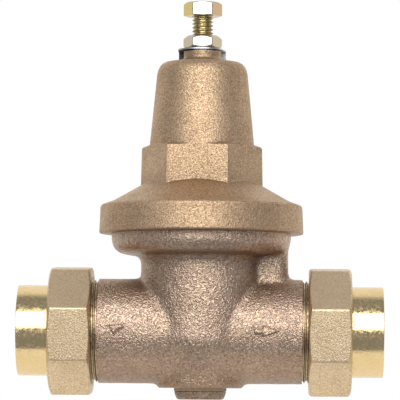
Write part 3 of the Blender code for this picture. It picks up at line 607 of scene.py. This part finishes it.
def wound(low, clock, windings):
    """Wire wound about Z from a height in mm and a clock angle, through (turns, pitch) windings."""
    coil = bmesh.new()
    wire = bmesh.ops.create_circle(
        coil, segments=14, radius=WIRE_R * MM,
        matrix=Matrix.Rotation(clock, 4, "Z") @ Matrix.Translation((SPRING_R * MM, 0, low * MM))
        @ Matrix.Rotation(math.pi / 2, 4, "X"),
    )["verts"]
    loop = [coil.faces.new(wire)]
    for turns, pitch in windings:
        swept = bmesh.ops.spin(
            coil, geom=loop, cent=(0, 0, 0), axis=(0, 0, 1), dvec=(0, 0, pitch * MM / WINDING_STEPS),
            angle=2 * math.pi * turns, steps=int(WINDING_STEPS * turns),
        )
        loop = [part for part in swept["geom_last"] if isinstance(part, bmesh.types.BMFace)]
    bmesh.ops.recalc_face_normals(coil, faces=coil.faces)
    return coil


coil = wound(SPRING_LOW, 0.0, ((1, END_PITCH), (HALF_TURNS, free_pitch)))
lower_spring = piece("lower_spring_looks", coil, [SPRING_STEEL], None, "steel", "adjusting_spring")
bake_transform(lower_spring)
coil = wound(spring_middle, 2 * math.pi * (1 + HALF_TURNS), ((HALF_TURNS, free_pitch), (1, END_PITCH)))
upper_spring = piece("upper_spring_looks", coil, [SPRING_STEEL], None, "steel", "adjusting_spring")
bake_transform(upper_spring)

# Bell housing: a sand-cast bronze bell with a screw ring, a hexagon for the wrench and a tapered tower.
# It screws down over the rim of the body and clamps the diaphragm; its skin is finer than the body's.
HEX_LOW = 76.0
HEX_HIGH = 94.6
HEX_HALF_FLATS = 19.7
HEX_CORNER = 22.75
HEX_CORNER_ROUND = 0.6
HEX_TOP_ROUND = 1.1
HEX_DRAFT = 0.02
HEX_FILLET = 0.3
HEX_CLOCK = math.radians(86.3)
TOWER_FOOT = 19.6
bell_corners = [
    (4.27, 130.75, 0.3), (7.0, 130.75, 0.5), (7.0, 127.0, 1.4), (12.0, 126.5, 2.0), (16.6, 125.6, 4.0),
    (TOWER_FOOT, HEX_HIGH, 0), (19.0, 93.4, 0), (19.6, 81.4, 0), (22.8, 79.8, 0.8), (33.0, 74.0, 1.2),
    (37.75, 72.3, 0.9), (38.2, 61.9, 0.5), (33.0, 61.7, 0), (33.0, 69.8, 0), (26.5, 69.8, 0), (26.5, 73.8, 0),
    (16.2, 79.6, 1.0), (13.0, 119.3, 1.0), (4.27, 119.3, 0),
]
# Sand-cast bronze of the bell: warmer than the body's, with a finer and flatter grain
BELL_BRONZE = cast_bronze(
    "sand_cast_bell_bronze", "#d9bb97", "#9c8065", grain=0.38, worm=0.55, depth=0.165, rough=0.49, bloom=0.2)
bell = turn(bell_corners, steps=168, row=0.6, closed=True)
gather(bell, 6, HEX_CLOCK, power=1.8)
# The outer skin between the ring and the tower is pushed out to the hexagon; the inner wall stays round
for vert in bell.verts:
    radius = math.hypot(vert.co.x, vert.co.y) / MM
    height = vert.co.z / MM
    inner_wall = max(17.0, 16.6 + (94.4 - height) * 0.2)
    if radius > inner_wall and HEX_LOW < height < HEX_HIGH + 0.01:
        hexagon = flat_radius(math.atan2(vert.co.y, vert.co.x), 6, HEX_HALF_FLATS, HEX_CLOCK)
        hexagon = least(hexagon, HEX_CORNER, HEX_CORNER_ROUND)
        lip = min(max(hexagon - TOWER_FOOT, 0.0), HEX_TOP_ROUND)
        over_round = min(max(height - (HEX_HIGH - lip), 0.0), lip)
        hexagon -= lip - math.sqrt(lip ** 2 - over_round ** 2)
        hexagon += HEX_DRAFT * (HEX_HIGH - height)
        pushed = -least(-radius, -hexagon, HEX_FILLET)
        vert.co.x *= pushed / radius
        vert.co.y *= pushed / radius
piece("bell_looks", bell, [BELL_BRONZE], "valve", "bell_bronze", "bell_housing", crease=45.0)

# Adjusting screw: a hexagon-headed steel bolt, rolled thread to the head, plated with yellow zinc.
# It screws down through the bell's boss, where its tip bears on the spring button.
HEAD_LOW = 143.7
HEAD_HIGH = 148.9
HEAD_FLATS = 6.35
HEAD_CORNER = 7.4
TIP = 111.9
SCREW_CREST = 3.97
SCREW_ROOT = 3.2
SCREW_PITCH = 1.4111
HEAD_LAP = 1.5
# Distances in mm from the axis over which the painted sheen of the sides takes over from the colour of the
# front and back
SIDE_SHEEN_FROM = 3.5
SIDE_SHEEN_TO = 4.1
head_corners = [
    (0.0, HEAD_HIGH, 0), (6.1, HEAD_HIGH, 0.15), (HEAD_CORNER, HEAD_HIGH - 0.85, 0.1),
    (HEAD_CORNER, HEAD_LOW + 0.3, 0.1), (6.3, HEAD_LOW, 0.1), (0.0, HEAD_LOW, 0),
]


def plated_zinc(name, middle, left_sheen, right_sheen):
    """Yellow-passivated zinc: a bright film, pale on the front and back flats, with a painted sheen of one
    tint on the sides at one end and another at the other.
    """
    made, tree, place = new_tree(name)
    across = node(tree, "SeparateXYZ", {0: place})
    speck = node(tree, "TexNoise", {"Vector": place, "Scale": 1 / (0.5 * MM), "Detail": 2.0})
    tint = linear(middle)
    for side, film in ((-1, left_sheen), (1, right_sheen)):
        share = node(tree, "MapRange", {
            "Value": across.outputs["X"], "From Min": side * SIDE_SHEEN_FROM * MM, "From Max": side * SIDE_SHEEN_TO * MM})
        tint = node(tree, "Mix", {0: share.outputs[0], 6: tint, 7: linear(film)}, data_type="RGBA").outputs[2]
    worn = node(tree, "MapRange", {
        "Value": speck.outputs["Fac"], "From Min": 0.4, "From Max": 0.7, "To Max": 0.35})
    colour = node(tree, "Mix", {0: worn.outputs[0], 6: tint, 7: linear("#c6c0ae")}, data_type="RGBA")
    gloss = node(tree, "MapRange", {"Value": speck.outputs["Fac"], "To Min": 0.2, "To Max": 0.36})
    bump = node(tree, "Bump", {"Height": speck.outputs["Fac"], "Strength": 0.5, "Distance": 0.03 * MM})
    shader = node(tree, "BsdfPrincipled", {
        "Base Color": colour.outputs[2], "Roughness": gloss.outputs[0], "Normal": bump.outputs[0],
        "Metallic": 1.0})
    node(tree, "OutputMaterial", {"Surface": shader.outputs[0]})
    return made


# The head's film is thick and deeply coloured; its straw sheen on one side and almost orange sheen on the
# other are painted on
ZINC = plated_zinc("yellow_zinc_plated_steel", "#cbc4b0", "#d3bc70", "#d0b086")
# The thread's plating is drawn a darker olive than the head's, as painted shade in its grooves
THREAD_SHADE_ZINC = turned_metal(
    "zinc_thread_painted_shade", "#cfbe8e", "#a1926a", rough=0.3, line=0.3, depth=0.02, axis="Z")
head = turn(head_corners, row=0.3)
press(head, 6, HEAD_FLATS, math.pi / 2, inside=5.9, rounding=0.6, soft=0.25)
screw = threaded(SCREW_CREST, SCREW_ROOT, SCREW_PITCH, TIP, HEAD_LOW + HEAD_LAP, steps=48)
screw = combine(head, finish_faces(screw, 1), "UNION", [ZINC, THREAD_SHADE_ZINC])
piece("screw_looks", screw, [ZINC, THREAD_SHADE_ZINC], "adjusting_screw", "zinc", "adjusting_screw")

# Lock nut: a thin hexagon nut of plated steel on the screw, chamfered at both ends.
# It is run down on the tag to hold the screw where it was set.
NUT_LOW = 131.35
NUT_HIGH = 136.3
NUT_BORE = 4.27
lock_nut_corners = [
    (4.6, NUT_HIGH, 0), (5.75, NUT_HIGH, 0.1), (HEAD_CORNER, NUT_HIGH - 1.4, 0.2),
    (HEAD_CORNER, NUT_LOW + 1.1, 0.2), (5.9, NUT_LOW, 0.1), (4.6, NUT_LOW, 0), (NUT_BORE, NUT_LOW + 0.3, 0),
    (NUT_BORE, NUT_HIGH - 0.3, 0),
]
# The nut's film is thin, so the grey of the zinc shows through; its faint side tints are a painted sheen too
THIN_ZINC = plated_zinc("pale_zinc_plated_steel", "#cbc6b8", "#c5b5a0", "#ccbf9f")
lock_nut = turn(lock_nut_corners, row=0.3, closed=True)
press(lock_nut, 6, HEAD_FLATS, math.pi / 2, inside=5.5, rounding=0.6, soft=0.25)
piece("lock_nut_looks", lock_nut, [THIN_ZINC], "lock_nut", "zinc", "lock_nut")

# Tag: a strip of rolled aluminium under the lock nut, rounded in front and folded down behind the boss.
# It is punched for the screw. Its under face and fold are painted black as painted shade, and white at their
# right end as painted light.
TAG_LOW = 130.8
TAG_T = 0.5
TAG_LEFT = -9.2
TAG_SHADE_W = 15.2
TAG_LIT_W = 2.7
TAG_LEG_SKEW = 0.25
TAG_FRONT_R = 7.6
TAG_LEFT_STRETCH = 1.21
TAG_REAR_STRETCH = 1.35
TAG_REAR_REACH = 12
TAG_HOLE_R = 4.57
DIE_LOW = 120
DIE_HIGH = 140
tag_path = [(-9.3, TAG_LOW), (7.4, TAG_LOW), (7.85, TAG_LOW - 0.45), (7.85, TAG_LOW - 3.9)]
made, tree, place = new_tree("rolled_aluminium_sheet")
# Mill-finish aluminium: cool grey with fine rolling lines along Y, 0.25 mm apart
rolled = node(tree, "Mapping", {"Vector": place, "Scale": (1.0, 0.05, 1.0)})
lines = node(tree, "TexNoise", {"Vector": rolled.outputs[0], "Scale": 1 / (0.25 * MM), "Detail": 2.0})
colour = node(tree, "Mix", {
    0: lines.outputs["Fac"], 6: linear("#a9aaab"), 7: linear("#d2d3d4")}, data_type="RGBA")
gloss = node(tree, "MapRange", {"Value": lines.outputs["Fac"], "To Min": 0.28, "To Max": 0.45})
bump = node(tree, "Bump", {"Height": lines.outputs["Fac"], "Strength": 0.5, "Distance": 0.02 * MM})
shader = node(tree, "BsdfPrincipled", {
    "Base Color": colour.outputs[2], "Roughness": gloss.outputs[0], "Normal": bump.outputs[0],
    "Metallic": 1.0})
node(tree, "OutputMaterial", {"Surface": shader.outputs[0]})
TAG_FINISHES = [made]
# Painted shade in black and painted light in white: even skins of half gloss, with an orange peel 0.8 mm
# across
for name, deep, pale in (
    ("tag_black_painted_shade", "#383432", "#4c4744"),
    ("tag_white_painted_light", "#c9c9c8", "#dededc"),
):
    TAG_FINISHES.append(matt_skin(
        name, deep, pale, speck=0.8, relief=0.03, rough=0.45, shine=0.4, detail=2.0))
tag = bmesh.new()
line = [tag.verts.new((TAG_LEFT * MM, y * MM, (z + TAG_T / 2) * MM)) for y, z in tag_path]
edges = [tag.edges.new(pair) for pair in zip(line, line[1:])]
for reach in (TAG_SHADE_W, TAG_LIT_W):
    strip = bmesh.ops.extrude_edge_only(tag, edges=edges)["geom"]
    across = [part for part in strip if isinstance(part, bmesh.types.BMVert)]
    bmesh.ops.translate(tag, verts=across, vec=(reach * MM, 0, 0))
    edges = [
        part for part in strip
        if isinstance(part, bmesh.types.BMEdge) and all(vert in across for vert in part.verts)
    ]
bmesh.ops.recalc_face_normals(tag, faces=tag.faces)
bmesh.ops.solidify(tag, geom=tag.faces[:], thickness=TAG_T * MM)
tag_top = max(vert.co.z for vert in tag.verts) / MM
bmesh.ops.translate(tag, verts=tag.verts, vec=(0, 0, (TAG_LOW + TAG_T - tag_top) * MM))
bmesh.ops.recalc_face_normals(tag, faces=tag.faces)
for vert in tag.verts:
    if vert.co.y > 0:
        vert.co.y -= TAG_LEG_SKEW * vert.co.x
front = turn([(0, DIE_HIGH, 0), (TAG_FRONT_R, DIE_HIGH, 0), (TAG_FRONT_R, DIE_LOW, 0), (0, DIE_LOW, 0)])
for vert in front.verts:
    if vert.co.y > 0.01 * MM:
        vert.co.x *= TAG_REAR_STRETCH
        vert.co.y += TAG_REAR_REACH * MM
    elif vert.co.x < 0:
        vert.co.x *= TAG_LEFT_STRETCH
tag = combine(tag, front, "INTERSECT", TAG_FINISHES)
hole = turn(
    [(0, DIE_HIGH, 0), (TAG_HOLE_R, DIE_HIGH, 0), (TAG_HOLE_R, DIE_LOW, 0), (0, DIE_LOW, 0)], steps=64)
tag = combine(tag, hole, "DIFFERENCE", TAG_FINISHES)
# The under face and the fold take the black painted shade, and at their right end the white painted light
for face in tag.faces:
    middle = face.calc_center_median() / MM
    if middle.z < TAG_LOW + 0.05 and abs(face.normal.x) < 0.5:
        face.material_index = 1 if middle.x < TAG_LEFT + TAG_SHADE_W else 2
piece("tag_looks", tag, TAG_FINISHES, "name_tag", "tag", "name_tag")

# Unions: at each end an eight-sided cast bronze nut draws a turned brass tailpiece up to the spigot.
# The tailpiece has a solder cup for a copper tube, and a fibre gasket lies between its collar and the spigot.
NUT_SIDES = 8
NUT_FLATS = 23.3
NUT_CORNER = 25.35
NUT_CLOCK = math.radians(17.9 + 22.5)
TAIL_R = 16.9
TAIL_END = 68.0
COLLAR_R = 18.75
CUP_R = 14.4
CUP_REACH = 15.0
tail_corners = [
    (TAIL_R, TAIL_END, 0.25), (TAIL_R, 51.3, 0), (COLLAR_R, 51.3, 0.3), (COLLAR_R, 47.3, 0.3),
    (12.7, 47.3, 0.3), (12.7, 50.0, 0), (CUP_R, 50.0, 0), (CUP_R, TAIL_END, 0.35),
]
union_nut_corners = [
    (17.0, 56.2, 0.3), (22.2, 56.2, 0.3), (NUT_CORNER, 54.9, 0.3), (NUT_CORNER, 41.4, 0.3),
    (22.8, 40.35, 0.2), (20.2, 40.35, 0), (19.35, 41.1, 0), (19.35, 51.6, 0), (17.0, 51.6, 0),
]
# Cast bronze of the nuts: paler than the body, with an even, fine grain
NUT_BRONZE = cast_bronze(
    "cast_union_bronze", "#ecd5b0", "#c1a682", grain=0.36, worm=0.58, depth=0.095, rough=0.43)
# Turned and polished brass: mirror-like outside with faint rings from the lathe, duller in the reamed cup
CUP_BRASS = turned_metal(
    "reamed_brass", "#dfc492", "#cbac74", rough=0.36, line=0.4, depth=0.002, axis="X", buffed=0.3)
TAIL_BRASS = turned_metal(
    "polished_brass", "#efd6a4", "#e2c48b", rough=0.17, line=0.4, depth=0.03, axis="X", buffed=1.2)
dress(FIBRE, "inlet_union_gasket", "outlet_union_gasket")
for side, outward in (("inlet", -1), ("outlet", 1)):
    tail = turn(tail_corners, steps=128, closed=True)
    for face in tail.faces:
        if face.calc_center_median().xy.length < CUP_REACH * MM:
            face.material_index = 1
    tail = lay(tail, outward)
    finishes = [TAIL_BRASS, CUP_BRASS]
    piece(f"{side}_tail_looks", tail, finishes, f"{side}_tailpiece", "brass", f"{side}_tailpiece")
    nut = turn(union_nut_corners, steps=160, row=0.45, closed=True)
    press(nut, NUT_SIDES, NUT_FLATS, NUT_CLOCK, inside=20.4, rounding=0.9, soft=0.3)
    nut = lay(nut, outward)
    piece(f"{side}_nut_looks", nut, [NUT_BRONZE], f"{side}_union_nut", "nut_bronze", f"{side}_union_nut")

# Studio: a pale paper table in a white room, in metres. A wide soft box hangs in front above the camera.
# The room is dim in front and white behind, as the bands on polished metal show.
TABLE_HALF_X = 1.2
TABLE_HALF_Y = 0.9
TABLE_MIDDLE_Y = 0.869
BOX_AT = (0.0, -0.95, 0.52)
BOX_AIM = (0, 0, 0.06)
made, tree, place = new_tree("white_paper_table")
ray = node(tree, "LightPath")
# Matt white paper: seen by the camera and in metal it is as white as the room behind, less the valve's shadow
seen = node(tree, "Math", {
    0: ray.outputs["Is Camera Ray"], 1: ray.outputs["Is Glossy Ray"]}, operation="MAXIMUM")
seen = node(tree, "Math", {0: seen.outputs[0], 1: ray.outputs["Is Transmission Ray"]}, operation="MAXIMUM")
paper = node(tree, "BsdfDiffuse", {"Color": linear("#f4f4f2")})
glow = node(tree, "Emission", {"Color": (1.0, 1.0, 1.0, 1.0), "Strength": 1.07})
bright = node(tree, "MixShader", {0: 0.85, 1: paper.outputs[0], 2: glow.outputs[0]})
surface = node(tree, "MixShader", {0: seen.outputs[0], 1: paper.outputs[0], 2: bright.outputs[0]})
node(tree, "OutputMaterial", {"Surface": surface.outputs[0]})
table = bmesh.new()
bmesh.ops.create_grid(table, x_segments=1, y_segments=1, size=1.0)
for vert in table.verts:
    vert.co.x *= TABLE_HALF_X
    vert.co.y = vert.co.y * TABLE_HALF_Y + TABLE_MIDDLE_Y
loose(table, [made], "table")

world = bpy.data.worlds.new("white_room")
bpy.context.scene.world = world
world.use_nodes = True
tree = world.node_tree
tree.nodes.clear()
ray = node(tree, "LightPath")
way = node(tree, "SeparateXYZ", {0: node(tree, "TexCoord").outputs["Generated"]})
behind = node(tree, "MapRange", {
    "Value": way.outputs["Y"], "From Min": 0.0, "From Max": 0.35}, interpolation_type="SMOOTHSTEP")
room = node(tree, "Mix", {
    0: behind.outputs[0], 6: linear("#9095a0"), 7: linear("#ffffff")}, data_type="RGBA")
grey = node(tree, "Background", {"Color": room.outputs[2], "Strength": 1.0})
white = node(tree, "Background", {"Color": (1.0, 1.0, 1.0, 1.0), "Strength": 1.0})
sky = node(tree, "MixShader", {0: ray.outputs["Is Camera Ray"], 1: grey.outputs[0], 2: white.outputs[0]})
node(tree, "OutputWorld", {"Surface": sky.outputs[0]})

lamp = bpy.data.lights.new("front_soft_box", "AREA")
lamp.shape = "RECTANGLE"
lamp.size = 1.3
lamp.size_y = 0.82
lamp.energy = 12.2
soft_box = bpy.data.objects.new("front_soft_box", lamp)
bpy.context.scene.collection.objects.link(soft_box)
soft_box.location = BOX_AT
soft_box.rotation_euler = (Vector(BOX_AIM) - Vector(BOX_AT)).to_track_quat("-Z", "Y").to_euler()

# Camera: level with the foot of the valve and a little to its right, far off with a long lens.
# It is rolled by less than half a degree, as the photograph is.
CAMERA_AT = (0.028, -1.13, 0.003)
CAMERA_AIM = (-0.00058, 0.0, 0.0746)
CAMERA_ROLL = math.radians(0.42)
eye = bpy.data.cameras.new("camera")
eye.sensor_width = 36.0
eye.lens = 272.2
eye.clip_start = 0.01
camera = bpy.data.objects.new("camera", eye)
bpy.context.scene.collection.objects.link(camera)
camera.location = CAMERA_AT
look = Vector(CAMERA_AIM) - camera.location
roll = Matrix.Rotation(CAMERA_ROLL, 4, "Z").to_quaternion()
camera.rotation_euler = (look.to_track_quat("-Z", "Y") @ roll).to_euler()
bpy.context.scene.camera = camera
bpy.context.scene.view_settings.view_transform = "Standard"
